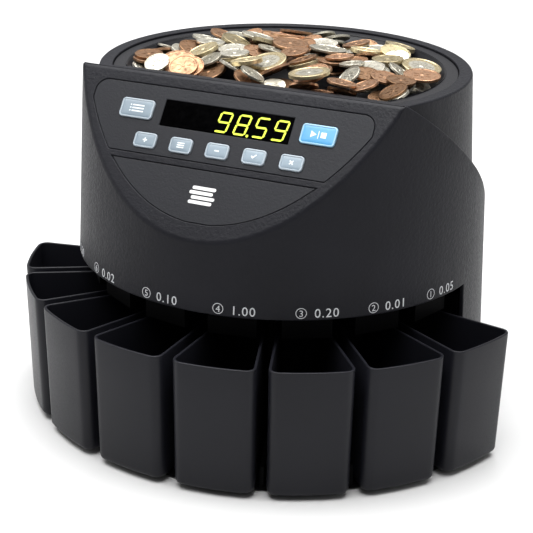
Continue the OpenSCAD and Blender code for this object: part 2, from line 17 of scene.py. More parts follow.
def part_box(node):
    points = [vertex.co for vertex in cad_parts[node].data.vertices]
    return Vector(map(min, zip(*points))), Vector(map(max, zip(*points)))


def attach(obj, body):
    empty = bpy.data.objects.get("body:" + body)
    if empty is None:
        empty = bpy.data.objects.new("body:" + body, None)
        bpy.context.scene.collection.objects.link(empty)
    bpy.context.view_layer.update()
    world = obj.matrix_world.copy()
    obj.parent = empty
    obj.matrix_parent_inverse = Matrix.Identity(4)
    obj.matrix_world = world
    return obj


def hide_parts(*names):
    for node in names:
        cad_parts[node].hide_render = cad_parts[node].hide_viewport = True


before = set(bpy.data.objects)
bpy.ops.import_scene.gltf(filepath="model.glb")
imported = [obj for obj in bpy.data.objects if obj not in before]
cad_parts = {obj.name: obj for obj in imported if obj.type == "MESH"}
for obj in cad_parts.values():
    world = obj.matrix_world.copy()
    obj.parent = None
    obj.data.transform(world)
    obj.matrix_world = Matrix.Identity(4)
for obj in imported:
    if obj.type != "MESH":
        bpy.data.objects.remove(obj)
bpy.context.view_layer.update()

MM = 0.001
AXIS = (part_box("main_shaft")[0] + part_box("main_shaft")[1]) / 2 / MM
AXIS.z = 0.0
PANEL_TOP_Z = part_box("main_housing")[1].z / MM
PANEL_TOP_Y = AXIS.y - 79.2
PANEL_SLOPE = math.radians(53.6)
SKIRT_Z = 114.7
BODY_R = 150.9
BODY_LEAN = math.radians(2.04)
FAN_Y = AXIS.y + 8.9
CUP_PITCH = 19.65
CUPS = range(1, 9)


def wall_r(z):
    return BODY_R - z * math.tan(BODY_LEAN)


def cup_angle(i):
    return math.radians((4.5 - i) * CUP_PITCH)


# ---------- materials ----------

def new_material(name):
    material = bpy.data.materials.new(name)
    material.use_nodes = True
    nodes, links = material.node_tree.nodes, material.node_tree.links
    return material, nodes, links, nodes["Principled BSDF"]


def noise(nodes, links, scale, detail=4.0, roughness=0.55):
    where = nodes.new("ShaderNodeTexCoord")
    texture = nodes.new("ShaderNodeTexNoise")
    texture.inputs["Scale"].default_value = scale
    texture.inputs["Detail"].default_value = detail
    texture.inputs["Roughness"].default_value = roughness
    links.new(where.outputs["Object"], texture.inputs["Vector"])
    return texture.outputs["Fac"]


def ramp(nodes, links, source, stops):
    """A colour ramp over source; stops are (position, colour)."""
    node = nodes.new("ShaderNodeValToRGB")
    links.new(source, node.inputs["Fac"])
    elements = node.color_ramp.elements
    while len(elements) < len(stops):
        elements.new(0.5)
    for element, (position, colour) in zip(elements, stops):
        element.position = position
        element.color = (*colour, 1.0)
    return node.outputs["Color"]


def span(nodes, links, source, low, high, start=0.3, end=0.7):
    """Maps source from start..end to low..high, clamped at both ends."""
    node = nodes.new("ShaderNodeMapRange")
    links.new(source, node.inputs["Value"])
    for name, value in (("From Min", start), ("From Max", end), ("To Min", low), ("To Max", high)):
        node.inputs[name].default_value = value
    return node.outputs["Result"]


def bump(nodes, links, source, shader, strength, distance):
    node = nodes.new("ShaderNodeBump")
    node.inputs["Strength"].default_value = strength
    node.inputs["Distance"].default_value = distance
    links.new(source, node.inputs["Height"])
    links.new(node.outputs["Normal"], shader.inputs["Normal"])


def plastic(name, colour, roughness, grain=0.0, grain_scale=900.0, variation=0.12, specular=0.5):
    """Moulded plastic: faint mottling, uneven gloss and, with grain, a fine pebbled surface."""
    material, nodes, links, shader = new_material(name)
    dark = tuple(c * (1 - variation) for c in colour)
    light = tuple(c * (1 + variation) for c in colour)
    broad = noise(nodes, links, 14.0)
    links.new(ramp(nodes, links, broad, [(0.35, dark), (0.65, light)]), shader.inputs["Base Color"])
    fine = noise(nodes, links, grain_scale, 3.0, 0.6)
    links.new(span(nodes, links, fine, roughness - 0.05, roughness + 0.07), shader.inputs["Roughness"])
    shader.inputs["Specular IOR Level"].default_value = specular
    bump(nodes, links, fine, shader, 0.2 + 0.8 * grain, 0.00003 + 0.00032 * grain)
    return material


def metal(name, colour, roughness, brushed=True):
    """Metal with fine brush lines or a cloudy polish."""
    material, nodes, links, shader = new_material(name)
    shader.inputs["Metallic"].default_value = 1.0
    where = nodes.new("ShaderNodeTexCoord")
    stretch = nodes.new("ShaderNodeMapping")
    stretch.inputs["Scale"].default_value = (8.0, 900.0, 900.0) if brushed else (60.0, 60.0, 60.0)
    links.new(where.outputs["Object"], stretch.inputs["Vector"])
    lines = nodes.new("ShaderNodeTexNoise")
    lines.inputs["Scale"].default_value = 1.0
    lines.inputs["Detail"].default_value = 5.0
    links.new(stretch.outputs["Vector"], lines.inputs["Vector"])
    dark = tuple(c * 0.82 for c in colour)
    links.new(ramp(nodes, links, lines.outputs["Fac"], [(0.3, dark), (0.7, colour)]),
              shader.inputs["Base Color"])
    links.new(span(nodes, links, lines.outputs["Fac"], roughness - 0.06, roughness + 0.08),
              shader.inputs["Roughness"])
    bump(nodes, links, lines.outputs["Fac"], shader, 0.15, 0.00003)
    return material


def coin_metal(name, fresh, worn, dark, roughness):
    """Coin alloy: each coin has its own tone between worn and fresh, under cloudy dark patina."""
    material, nodes, links, shader = new_material(name)
    shader.inputs["Metallic"].default_value = 0.85
    tone = nodes.new("ShaderNodeAttribute")
    tone.attribute_name = "coin_tone"
    handled = tuple((w + f) / 2.2 for w, f in zip(worn, fresh))
    base = ramp(nodes, links, tone.outputs["Fac"], [(0.0, worn), (0.7, handled), (1.0, fresh)])
    stain = noise(nodes, links, 240.0, 5.0, 0.65)
    mix = nodes.new("ShaderNodeMix")
    mix.data_type = "RGBA"
    links.new(span(nodes, links, stain, 0.0, 0.75, 0.42, 0.72), mix.inputs["Factor"])
    links.new(base, mix.inputs[6])
    mix.inputs[7].default_value = (*dark, 1.0)
    links.new(mix.outputs[2], shader.inputs["Base Color"])
    links.new(span(nodes, links, stain, roughness - 0.08, roughness + 0.18), shader.inputs["Roughness"])
    bump(nodes, links, noise(nodes, links, 1100.0, 4.0, 0.6), shader, 0.5, 0.00008)
    return material


def glowing(name, colour, strength):
    """Lit display segment with a slightly uneven glow."""
    material, nodes, links, shader = new_material(name)
    uneven = noise(nodes, links, 700.0)
    edge = tuple(c * 0.86 for c in colour)
    shade = ramp(nodes, links, uneven, [(0.3, edge), (0.7, colour)])
    for socket in ("Emission Color", "Base Color"):
        links.new(shade, shader.inputs[socket])
    shader.inputs["Emission Strength"].default_value = strength
    shader.inputs["Roughness"].default_value = 0.4
    return material


MATS = {
    # plastic(name, colour, roughness, grain, grain_scale, variation, specular)
    "housing": plastic("charcoal_textured", (0.0074, 0.0076, 0.0104), 0.46, 1.0, 430.0, 0.14, 0.15),
    # the fascias' charcoal is a lighter copy of the housing's: painted top light on the sloping panel
    "panel": plastic("charcoal_panel_painted_top_light", (0.0104, 0.0110, 0.0140), 0.48, 0.6, 600.0, 0.08, 0.20),
    "cup": plastic("satin_black", (0.0082, 0.0084, 0.0115), 0.38, 0.1, 900.0, 0.08, 0.19),
    "black": plastic("inner_black", (0.004, 0.004, 0.0045), 0.5, 0.2, 900.0, 0.12, 0.2),
    # a darker, duller copy of the inner black: painted shade on the base plate and chute ring under the
    # skirt
    "chute": plastic("chute_black_painted_shade", (0.0012, 0.0012, 0.0015), 0.6, 0.2, 900.0, 0.12, 0.05),
    "bowl": plastic("bowl_black", (0.0065, 0.0065, 0.0085), 0.40, 0.3, 800.0, 0.1, 0.26),
    "window": plastic("window_black", (0.0002, 0.0002, 0.0003), 0.16, 0.0, 300.0, 0.2, 0.02),
    "white": plastic("print_white", (0.66, 0.66, 0.66), 0.5, 0.1, 1500.0, 0.04),
    "label": plastic("print_grey", (0.50, 0.51, 0.53), 0.5, 0.1, 1500.0, 0.06),
    "key_edge": plastic("key_border", (0.29, 0.335, 0.375), 0.38, 0.1, 1200.0, 0.06),
    "key_face": plastic("key_grey_blue", (0.185, 0.235, 0.275), 0.35, 0.1, 260.0, 0.22),
    "key_blue_edge": plastic("key_blue_border", (0.24, 0.41, 0.54), 0.38, 0.1, 1200.0, 0.05),
    "key_blue": plastic("key_sky_blue", (0.065, 0.25, 0.45), 0.35, 0.1, 260.0, 0.10),
    "icon": plastic("icon_white", (0.62, 0.66, 0.68), 0.45, 0.05, 1500.0, 0.03),
    "board": plastic("solder_mask", (0.015, 0.10, 0.04), 0.35, 0.1, 300.0, 0.35),
    "cable": plastic("ribbon_grey", (0.36, 0.36, 0.38), 0.5, 0.1, 400.0, 0.15),
    "rubber": plastic("soft_rubber", (0.014, 0.014, 0.014), 0.75, 0.6, 700.0),
    "nylon": plastic("natural_nylon", (0.70, 0.68, 0.60), 0.42, 0.1, 300.0, 0.06),
    "blade": plastic("polyurethane", (0.52, 0.17, 0.03), 0.45, 0.1, 300.0, 0.12),
    "motor": plastic("motor_enamel", (0.05, 0.05, 0.055), 0.32, 0.2, 500.0),
    "steel": metal("brushed_plate", (0.52, 0.53, 0.55), 0.36),
    "bright": metal("bright_steel", (0.70, 0.71, 0.73), 0.22, False),
    "aluminium": metal("turned_aluminium", (0.72, 0.73, 0.75), 0.32),
    "glow": glowing("display_glow", (0.52, 0.66, 0.03), 0.60),
    # coin_metal(name, fresh, worn, dark, roughness)
    "copper": coin_metal("coin_copper", (0.58, 0.335, 0.20), (0.25, 0.138, 0.070),
                         (0.035, 0.022, 0.014), 0.34),
    "silver": coin_metal("coin_silver", (0.90, 0.86, 0.75), (0.42, 0.395, 0.32),
                         (0.05, 0.046, 0.033), 0.32),
    "gold": coin_metal("coin_gold", (0.84, 0.71, 0.44), (0.38, 0.315, 0.19),
                       (0.06, 0.048, 0.022), 0.32),
}

NODE_LOOKS = {
    "housing": ["main_housing", "hopper_drum", "rear_panel"],
    # the fascias take the lighter charcoal, which paints the top light on the panel
    "panel": ["control_fascia", "lower_fascia"],
    "cup": [f"cup_{i}" for i in CUPS],
    "bowl": ["hopper_bowl"],
    "black": ["track_cover", "display_module", "board_posts", "coin_sensors",
              "rotor_cone", "power_inlet", "switch_frame", "power_rocker", "data_port", "fuse_cap"],
    # the parts under the skirt take the extra-dark black, which paints the shade there
    "chute": ["base_plate", "chute_ring"],
    "window": ["display_window"],
    "key_edge": ["button_report", "button_plus", "button_batch", "button_minus", "button_set",
                 "button_clear"],
    "key_blue_edge": ["button_start_stop"],
    "board": ["front_board", "mainboard", "sensor_board"],
    "cable": ["ribbon_cable"],
    "rubber": ["rubber_feet"],
    "nylon": ["drive_gear", "motor_pinion"],
    "blade": ["pusher_blades"],
    "motor": ["motor"],
    "steel": ["mechanism_deck", "motor_bracket", "power_supply", "supply_cover", "support_pillars",
              "rear_screws"],
    "bright": ["switch_domes", "deck_screws", "base_screws", "rotor_nut", "main_shaft", "motor_shaft",
               "upper_bearing", "lower_bearing"],
    "aluminium": ["sorting_rail", "feed_disc", "bearing_housing"],
}
for look, names in NODE_LOOKS.items():
    for name in names:
        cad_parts[name].data.materials.clear()
        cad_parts[name].data.materials.append(MATS[look])


# ---------- mesh helpers ----------

def piece(name, verts, faces, look, body, place=None, smooth=True, replaces=()):
    """A closed mesh from millimetre points, placed by a matrix, riding on a body."""
    mesh = bpy.data.meshes.new(name)
    points = [(place @ Vector(v) if place else Vector(v)) * MM for v in verts]
    mesh.from_pydata([tuple(p) for p in points], [], faces)
    mesh.validate()
    return finish_piece(name, mesh, look, body, smooth, replaces)


def finish_piece(name, mesh, look, body, smooth=True, replaces=()):
    """Gives a mesh outward normals, its look and the body it rides on."""
    work = bmesh.new()
    work.from_mesh(mesh)
    bmesh.ops.recalc_face_normals(work, faces=work.faces)
    work.to_mesh(mesh)
    work.free()
    mesh.materials.clear()
    mesh.materials.append(MATS[look])
    mesh.shade_smooth() if smooth else mesh.shade_flat()
    if smooth:
        mesh.set_sharp_from_angle(angle=CREASE)
    obj = bpy.data.objects.new(name, mesh)
    bpy.context.scene.collection.objects.link(obj)
    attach(obj, body)
    if replaces:
        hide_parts(*replaces)
    return obj


CREASE = math.radians(38)       # sharper edges than this are shaded as edges


class Shells:
    """Collects several closed shells for one mesh."""

    def __init__(self):
        self.verts, self.faces = [], []

    def loft(self, rings, closed=False):
        """Skin between rings of equal length, capped at both ends, or joined into a loop."""
        n, first = len(rings[0]), len(self.verts)
        for ring in rings:
            self.verts.extend(ring)
        count = len(rings)
        for k in range(count if closed else count - 1):
            a, b = first + k * n, first + ((k + 1) % count) * n
            self.faces += [(a + j, a + (j + 1) % n, b + (j + 1) % n, b + j) for j in range(n)]
        if not closed:
            self.faces.append(tuple(first + j for j in reversed(range(n))))
            self.faces.append(tuple(first + (count - 1) * n + j for j in range(n)))
        return self

    def prism(self, outline, z1, z2):
        return self.loft([[(x, y, z) for x, y in outline] for z in (z1, z2)])

    def make(self, name, look, body, place=None, smooth=True, replaces=()):
        return piece(name, self.verts, self.faces, look, body, place, smooth, replaces)


def rounded(w, h, r, steps=6):
    """Outline of a rectangle with round corners, centred on the origin."""
    points = []
    for cx, cy, start in ((1, 1, 0), (-1, 1, 90), (-1, -1, 180), (1, -1, 270)):
        for k in range(steps + 1):
            a = math.radians(start + 90 * k / steps)
            points.append((cx * (w / 2 - r) + r * math.cos(a), cy * (h / 2 - r) + r * math.sin(a)))
    return points


def circle(r, steps=40, x=0.0, y=0.0):
    return [(x + r * math.cos(2 * math.pi * k / steps), y + r * math.sin(2 * math.pi * k / steps))
            for k in range(steps)]


def at_z(outline, z):
    return [(x, y, z) for x, y in outline]


def bar(x1, y1, x2, y2, width):
    """Outline of a straight stroke with pointed ends."""
    a, b = Vector((x1, y1)), Vector((x2, y2))
    along = (b - a).normalized() * width / 2
    side = Vector((-along.y, along.x))
    return [tuple(p) for p in (a - along, a - side, b - side, b + along, b + side, a + side)]


def stroke(x1, y1, x2, y2, width):
    """Outline of a straight stroke with square ends."""
    a, b = Vector((x1, y1)), Vector((x2, y2))
    along = (b - a).normalized()
    side = Vector((-along.y, along.x)) * width / 2
    return [tuple(p) for p in (a - side, b - side, b + side, a + side)]


def panel_matrix(x, v, w=0.0):
    c, s = math.cos(PANEL_SLOPE), math.sin(PANEL_SLOPE)
    across, up, out = Vector((1, 0, 0)), Vector((0, c, s)), Vector((0, -s, c))
    origin = Vector((0, PANEL_TOP_Y, PANEL_TOP_Z)) + across * x - up * v + out * w
    return Matrix.Translation(origin) @ Matrix((across, up, out)).transposed().to_4x4()


# ---------- camera, lights, floor ----------

VIEW_AZIMUTH, VIEW_ELEVATION, VIEW_ROLL = (math.radians(a) for a in (24.41, 21.11, 1.24))
VIEW_DISTANCE = 1181.05
LENS = 108.13
SENSOR_W = 36.0
TARGET_HEIGHT = 95.68       # of the point aimed at, over the floor
TARGET_RIGHT = -10.60       # of the point aimed at, from the body's axis


def make_camera():
    ca, sa = math.cos(VIEW_AZIMUTH), math.sin(VIEW_AZIMUTH)
    ce, se = math.cos(VIEW_ELEVATION), math.sin(VIEW_ELEVATION)
    back = Vector((sa * ce, -ca * ce, se))
    level_right = Vector((ca, sa, 0))
    level_up = back.cross(level_right)
    cr, sr = math.cos(VIEW_ROLL), math.sin(VIEW_ROLL)
    right, up = level_right * cr + level_up * sr, level_up * cr - level_right * sr
    target = AXIS + Vector((0, 0, TARGET_HEIGHT)) + level_right * TARGET_RIGHT
    data = bpy.data.cameras.new("camera")
    data.lens = LENS
    data.sensor_width = SENSOR_W
    data.clip_start, data.clip_end = 0.05, 50.0
    camera = bpy.data.objects.new("camera", data)
    turn = Matrix((right, up, back)).transposed().to_4x4()
    camera.matrix_world = Matrix.Translation((target + back * VIEW_DISTANCE) * MM) @ turn
    bpy.context.scene.collection.objects.link(camera)
    bpy.context.scene.camera = camera


def soft_light(name, where, aim, size, power):
    data = bpy.data.lights.new(name, "AREA")
    data.shape = "RECTANGLE"
    data.size, data.size_y = size
    data.energy = power
    light = bpy.data.objects.new(name, data)
    light.location = where
    light.rotation_mode = "QUATERNION"
    light.rotation_quaternion = (Vector(aim) - Vector(where)).to_track_quat("-Z", "Y")
    bpy.context.scene.collection.objects.link(light)


LIGHTS = {
    # name: (place, point aimed at, size, watts), in metres
    "top_light": ((-0.1, -0.05, 2.0), (0, -0.1, 0), (2.6, 2.4), 142),
    "left_light": ((-1.35, -0.55, 0.55), (0, 0, 0.12), (0.6, 1.0), 3.6),
    "right_light": ((1.5, 0.2, 0.6), (0, 0, 0.12), (0.6, 1.0), 1.6),
}
SKY_AHEAD, SKY_BEHIND = 0.10, 0.42   # sky brightness before and behind the machine
SKY_FROM, SKY_TO = -0.9, 0.1         # it changes between these, along Y on the unit sphere
FLOOR_HALF = 14.0
FLOOR_GREYS = (0.54, 0.56)
FLOOR_GLOW = 0.95
GLOW_FROM, GLOW_TO = 0.9, 3.0        # the lights fade with distance, and the floor glows instead
WHITE = (1.0, 1.0, 1.0, 1.0)


def make_studio():
    world = bpy.data.worlds.new("studio")
    world.use_nodes = True
    nodes, links = world.node_tree.nodes, world.node_tree.links
    split = nodes.new("ShaderNodeSeparateXYZ")
    links.new(nodes.new("ShaderNodeTexCoord").outputs["Generated"], split.inputs["Vector"])
    links.new(span(nodes, links, split.outputs["Y"], SKY_AHEAD, SKY_BEHIND, SKY_FROM, SKY_TO),
              nodes["Background"].inputs["Strength"])
    nodes["Background"].inputs["Color"].default_value = WHITE
    bpy.context.scene.world = world
    bpy.context.scene.view_settings.view_transform = "Standard"
    for name, (where, aim, size, power) in LIGHTS.items():
        soft_light(name, where, aim, size, power)
    material, nodes, links, shader = new_material("pale_floor")
    mottle = noise(nodes, links, 3.0)
    dark, light = ((grey, grey, grey) for grey in FLOOR_GREYS)
    links.new(ramp(nodes, links, mottle, [(0.3, dark), (0.7, light)]), shader.inputs["Base Color"])
    shader.inputs["Roughness"].default_value = 0.9
    shader.inputs["Specular IOR Level"].default_value = 0.1
    distance = nodes.new("ShaderNodeVectorMath")
    distance.operation = "LENGTH"
    links.new(nodes.new("ShaderNodeTexCoord").outputs["Object"], distance.inputs[0])
    links.new(span(nodes, links, distance.outputs["Value"], 0.0, FLOOR_GLOW, GLOW_FROM, GLOW_TO),
              shader.inputs["Emission Strength"])
    shader.inputs["Emission Color"].default_value = WHITE
    mesh = bpy.data.meshes.new("floor")
    corners = [(x * FLOOR_HALF, y * FLOOR_HALF, 0) for x, y in ((-1, -1), (1, -1), (1, 1), (-1, 1))]
    mesh.from_pydata(corners, [], [(0, 1, 2, 3)])
    mesh.materials.append(material)
    floor = bpy.data.objects.new("floor", mesh)
    bpy.context.scene.collection.objects.link(floor)


make_camera()
make_studio()


# ---------- mouldings with softened edges ----------

SHARP_EDGE = math.radians(20)
FLAT = math.radians(0.4)    # faces that meet at less are merged
WELD = 4e-6                 # metres
RIM_Z, RIM_R = 240, 126     # lowest rounded edge of the hopper's rim, and just inside its outer edge
BOWL_RIM_Z = 200


def softened(node, name, look, weight, width, segments=3):
    """Stands for a CAD moulding with its sharp edges rounded. weight(m) gives the share of width
    for an edge with middle m, in millimetres about the body's axis."""
    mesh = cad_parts[node].data.copy()
    mesh.name = name
    work = bmesh.new()
    work.from_mesh(mesh)
    bmesh.ops.remove_doubles(work, verts=work.verts, dist=WELD)
    bmesh.ops.dissolve_limit(work, angle_limit=FLAT, verts=work.verts, edges=work.edges)
    layer = work.edges.layers.float.new("bevel_weight_edge")
    for edge in work.edges:
        if len(edge.link_faces) == 2 and edge.calc_face_angle(0.0) > SHARP_EDGE:
            a, b = (v.co / MM - AXIS for v in edge.verts)
            edge[layer] = weight((a + b) / 2)
    work.to_mesh(mesh)
    work.free()
    obj = bpy.data.objects.new(name + "_raw", mesh)
    bpy.context.scene.collection.objects.link(obj)
    bevel = obj.modifiers.new("soft", "BEVEL")
    bevel.limit_method = "WEIGHT"
    bevel.width = width * MM
    bevel.segments = segments
    bevel.use_clamp_overlap = False
    evaluated = obj.evaluated_get(bpy.context.evaluated_depsgraph_get())
    final = bpy.data.meshes.new_from_object(evaluated)
    bpy.data.objects.remove(obj)
    made = finish_piece(name, final, look, "housing", True, [node])
    weighted = made.modifiers.new("flat_faces", "WEIGHTED_NORMAL")
    weighted.keep_sharp = True


def housing_edges(m):
    """Full width on the panel's outer edges, less on the skirt, a trace round the fascias."""
    radius = math.hypot(m.x, m.y)
    outside = abs(radius - wall_r(m.z)) < 1.2
    on_panel = abs((PANEL_TOP_Z - m.z) * math.cos(PANEL_SLOPE)
                   + (m.y + AXIS.y - PANEL_TOP_Y) * math.sin(PANEL_SLOPE)) < 0.4
    if m.z > PANEL_TOP_Z - 0.5 or (outside and m.z > SKIRT_Z + 2):
        return 1.0
    if outside:
        return 0.4
    return 0.30 if on_panel else 0.0


def rim_edges(m):
    """Full width round the rim's outer edge, less round its inner ones, none lower down."""
    if m.z < RIM_Z:
        return 0.0
    return 1.0 if math.hypot(m.x, m.y) > RIM_R else 0.4


softened("main_housing", "body_shell", "housing", housing_edges, 2.2)
softened("hopper_drum", "hopper_ring", "housing", rim_edges, 1.6)
softened("hopper_bowl", "coin_bowl", "bowl", lambda m: 0.6 if m.z > BOWL_RIM_Z else 0.0, 1.2)
# the fascias' lighter charcoal is painted top light
for cad_name, name in (("control_fascia", "key_panel"), ("lower_fascia", "blank_panel")):
    softened(cad_name, name, "panel", lambda m: 1.0, 0.5, 2)


# ---------- cups ----------

CUP_TOP_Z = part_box("cup_1")[1].z / MM
CUP_BOTTOM_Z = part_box("cup_1")[0].z / MM
CUP_R, CUP_FOOT_R, CUP_IN_R = 191.2, 188.0, 97.0
CUP_GAP, CUP_CORNER, CUP_WALL = 7.5, 7.0, 2.0
CUP_FOOT, CUP_RIM, CUP_INSIDE = 4.0, 0.7, 3.2   # radii of the foot, the rim and the inner floor
CUP_MIDDLE = (40, 65)                           # heights of the rings between them
ARC_STEPS = 9


def cup_outline(inset, outer_r, z):
    """The cup's rounded outline in its own frame, with -Y outwards, shrunk by inset."""
    half = math.radians(CUP_PITCH / 2)
    r = max(CUP_CORNER - inset, 0.6)
    side = CUP_GAP / 2 + inset
    r_out, near = outer_r - inset, CUP_IN_R + inset
    front = math.sqrt((r_out - r) ** 2 - (side + r) ** 2)
    out = Vector((math.sin(half), -math.cos(half)))
    across = Vector((math.cos(half), math.sin(half)))
    outer = front * out - (side + r) * across
    inner = Vector(((near + r) * math.tan(half) - (side + r) / math.cos(half), -near - r))
    facing = math.atan2(outer.y, outer.x)
    edge = math.atan2(across.y, across.x)
    right = [Vector((r_out * math.sin(t), -r_out * math.cos(t)))
             for t in np.linspace(0, math.pi / 2 + facing, ARC_STEPS)[:-1]]
    right += [outer + r * Vector((math.cos(t), math.sin(t)))
              for t in np.linspace(facing, edge, ARC_STEPS)]
    right += [inner + r * Vector((math.cos(t), math.sin(t)))
              for t in np.linspace(edge, math.pi / 2, ARC_STEPS)]
    left = [Vector((-p.x, p.y)) for p in reversed(right[1:])]
    return [(p.x, p.y, z) for p in right + left]


def make_cup(i):
    """One cup: up the outside from the foot, over the rounded rim and down the inside."""
    def outer_r(z):
        return CUP_FOOT_R + (CUP_R - CUP_FOOT_R) * (z - CUP_BOTTOM_Z) / (CUP_TOP_Z - CUP_BOTTOM_Z)

    def ring(inset, z):
        return cup_outline(inset, outer_r(z), z)

    steps = [math.pi / 2 * k / 5 for k in range(6)]
    floor_z = CUP_BOTTOM_Z + CUP_WALL
    rings = [ring(CUP_FOOT * (1 - math.sin(t)), CUP_BOTTOM_Z + CUP_FOOT * (1 - math.cos(t)))
             for t in steps]
    rings += [ring(0, z) for z in CUP_MIDDLE]
    rings += [ring(CUP_RIM * (1 - math.cos(t)), CUP_TOP_Z - CUP_RIM * (1 - math.sin(t)))
              for t in steps]
    rings += [ring(CUP_WALL - CUP_RIM * (1 - math.sin(t)), CUP_TOP_Z - CUP_RIM * (1 - math.cos(t)))
              for t in steps[1:]]
    rings += [ring(CUP_WALL, z) for z in reversed(CUP_MIDDLE)]
    rings += [ring(CUP_WALL + CUP_INSIDE * (1 - math.cos(t)), floor_z + CUP_INSIDE * (1 - math.sin(t)))
              for t in steps]
    place = Matrix.Translation(Vector((0, FAN_Y, 0))) @ Matrix.Rotation(cup_angle(i), 4, "Z")
    return Shells().loft(rings).make(f"coin_cup_{i}", "cup", f"cup_{i}", place, replaces=[f"cup_{i}"])


for i in CUPS:
    make_cup(i)


# ---------- keys ----------

KEY_V, BIG_KEY_V, BIG_KEY_X, KEY_PITCH = 48.2, 27.0, 66.3, 26.7
SMALL_KEY, BIG_KEY = (16.2, 10.5), (24.4, 13.6)
KEY_TOP = 1.0
KEY_BORDER, KEY_CORNER, KEY_SOFT = 1.1, 2.4, 0.45
LENS_DROP = 0.35            # the lens lies this far under the border
FLANGE_TOP, FLANGE_FOOT, STEM_FOOT = -1.8, -3.0, -4.9
FLANGE_CORNER, STEM_R = 3.0, 3.0


def icon_plus():
    return [stroke(-1.6, 0, 1.6, 0, 0.9), stroke(0, 0.45, 0, 1.6, 0.9), stroke(0, -1.6, 0, -0.45, 0.9)]


def icon_minus():
    return [stroke(-1.6, 0, 1.6, 0, 0.9)]


def icon_stack():
    return [stroke(-2.6, y, 2.6, y, 0.8) for y in (-1.5, 0, 1.5)]


def icon_tick():
    return [[(-1.9, 0.1), (-1.3, 0.7), (-0.5, -0.2), (1.5, 1.8), (2.1, 1.2), (-0.5, -1.5)]]


def icon_cross():
    return [stroke(-1.3, -1.3, 1.3, 1.3, 0.85), stroke(-1.3, 1.3, -0.35, 0.35, 0.85),
            stroke(0.35, -0.35, 1.3, -1.3, 0.85)]


def icon_list():
    rows = [stroke(-3.4, y, 5.2, y, 0.9) for y in (-2.1, 0, 2.1)]
    return rows + [stroke(-5.2, y, -4.3, y, 0.9) for y in (-2.1, 0, 2.1)]


def icon_start_stop():
    play = [[(-5.2, -2.3), (-1.2, 0), (-5.2, 2.3)]]
    return play + [stroke(0.1, -2.6, 0.1, 2.6, 0.5)] + [stroke(1.8, 0, 5.6, 0, 3.8)]


def make_key(key, x, v, size, icon, edge="key_edge", face="key_face"):
    """A bordered cap with its flange and stem, a slightly domed lens and a raised sign."""
    w, h = size
    body = f"button_{key}"
    place = panel_matrix(x, v)
    floor = KEY_TOP - LENS_DROP

    def loop(inset, z, least):
        return at_z(rounded(w - 2 * inset, h - 2 * inset, max(KEY_CORNER - inset, least)), z)

    cap = [(0, FLANGE_TOP), (0, KEY_TOP - KEY_SOFT)]
    cap += [(KEY_SOFT * (1 - math.cos(t)), KEY_TOP - KEY_SOFT * (1 - math.sin(t)))
            for t in (math.radians(a) for a in (22, 45, 67, 90))]
    cap += [(KEY_BORDER - 0.2, KEY_TOP), (KEY_BORDER, floor), (KEY_BORDER + 0.4, floor - 0.25)]
    shells = Shells().loft([loop(inset, z, 0.8) for inset, z in cap])
    shells.loft([at_z(rounded(w + 2, h + 2, FLANGE_CORNER), z) for z in (FLANGE_FOOT, FLANGE_TOP)])
    shells.loft([at_z(circle(STEM_R), z) for z in (STEM_FOOT, FLANGE_FOOT)])
    shells.make(f"key_cap_{key}", edge, body, place, replaces=[body])
    crown = [(1.15, floor - 0.2), (1.15, floor - 0.02), (1.6, floor + 0.12), (3.0, floor + 0.2)]
    Shells().loft([loop(inset, z, 0.7) for inset, z in crown]).make(f"key_lens_{key}", face, body, place)
    drawing = Shells()
    for outline in icon():
        drawing.prism(outline, floor + 0.1, floor + 0.3)
    drawing.make(f"key_icon_{key}", "icon", body, place, smooth=False)


make_key("report", -BIG_KEY_X, BIG_KEY_V, BIG_KEY, icon_list)
make_key("start_stop", BIG_KEY_X, BIG_KEY_V, BIG_KEY, icon_start_stop, "key_blue_edge", "key_blue")
for k, (key, icon) in enumerate((("plus", icon_plus), ("batch", icon_stack), ("minus", icon_minus),
                                 ("set", icon_tick), ("clear", icon_cross))):
    make_key(key, (k - 2) * KEY_PITCH, KEY_V, SMALL_KEY, icon)


# ---------- display ----------

DIGIT_W, DIGIT_H, DIGIT_PITCH = 8.0, 13.4, 13.6
DIGIT_SLANT = math.tan(math.radians(9))
LAST_DIGIT_X, DIGIT_V = 39.4, 27.7
LIT_W = (-0.32, -0.24)      # the digits' thin layer just over the window
POINT_R = 0.95
SEGMENT_GAP, SEGMENT_W = 0.45, 1.35
SEGMENTS = {"9": "abcdfg", "8": "abcdefg", "5": "acdfg"}


def digit_outlines(digit, x):
    w, h = DIGIT_W / 2, DIGIT_H / 2
    ends = {"a": (-w, h, w, h), "d": (-w, -h, w, -h), "g": (-w, 0, w, 0), "f": (-w, 0, -w, h),
            "e": (-w, -h, -w, 0), "b": (w, 0, w, h), "c": (w, -h, w, 0)}
    outlines = []
    for name in SEGMENTS[digit]:
        a, b = Vector(ends[name][:2]), Vector(ends[name][2:])
        along = (b - a).normalized() * (SEGMENT_GAP + SEGMENT_W * 0.28)
        points = bar(*(a + along), *(b - along), SEGMENT_W)
        outlines.append([(x + px + py * DIGIT_SLANT, py) for px, py in points])
    return outlines


def make_display():
    place = panel_matrix(0, DIGIT_V)
    lit = Shells()
    for k, digit in enumerate("9859"):
        for outline in digit_outlines(digit, LAST_DIGIT_X - (3 - k) * DIGIT_PITCH):
            lit.prism(outline, *LIT_W)
    point_x = LAST_DIGIT_X - 1.5 * DIGIT_PITCH - DIGIT_H / 2 * DIGIT_SLANT - 0.5
    lit.prism(circle(POINT_R, 20, point_x, -DIGIT_H / 2 - 0.2), *LIT_W)
    lit.make("lit_digits", "glow", "housing", place, smooth=False)


make_display()


# ---------- printing on the panel and the skirt ----------

PRINT_HALF = 0.04           # half the thickness of the printed letters
PRINT_LIFT = 0.06           # of their middle, over the body wall
CAPITAL = 0.73              # height of a capital in the default font, as a share of its size
TEXT_WELD = 1e-5            # millimetres


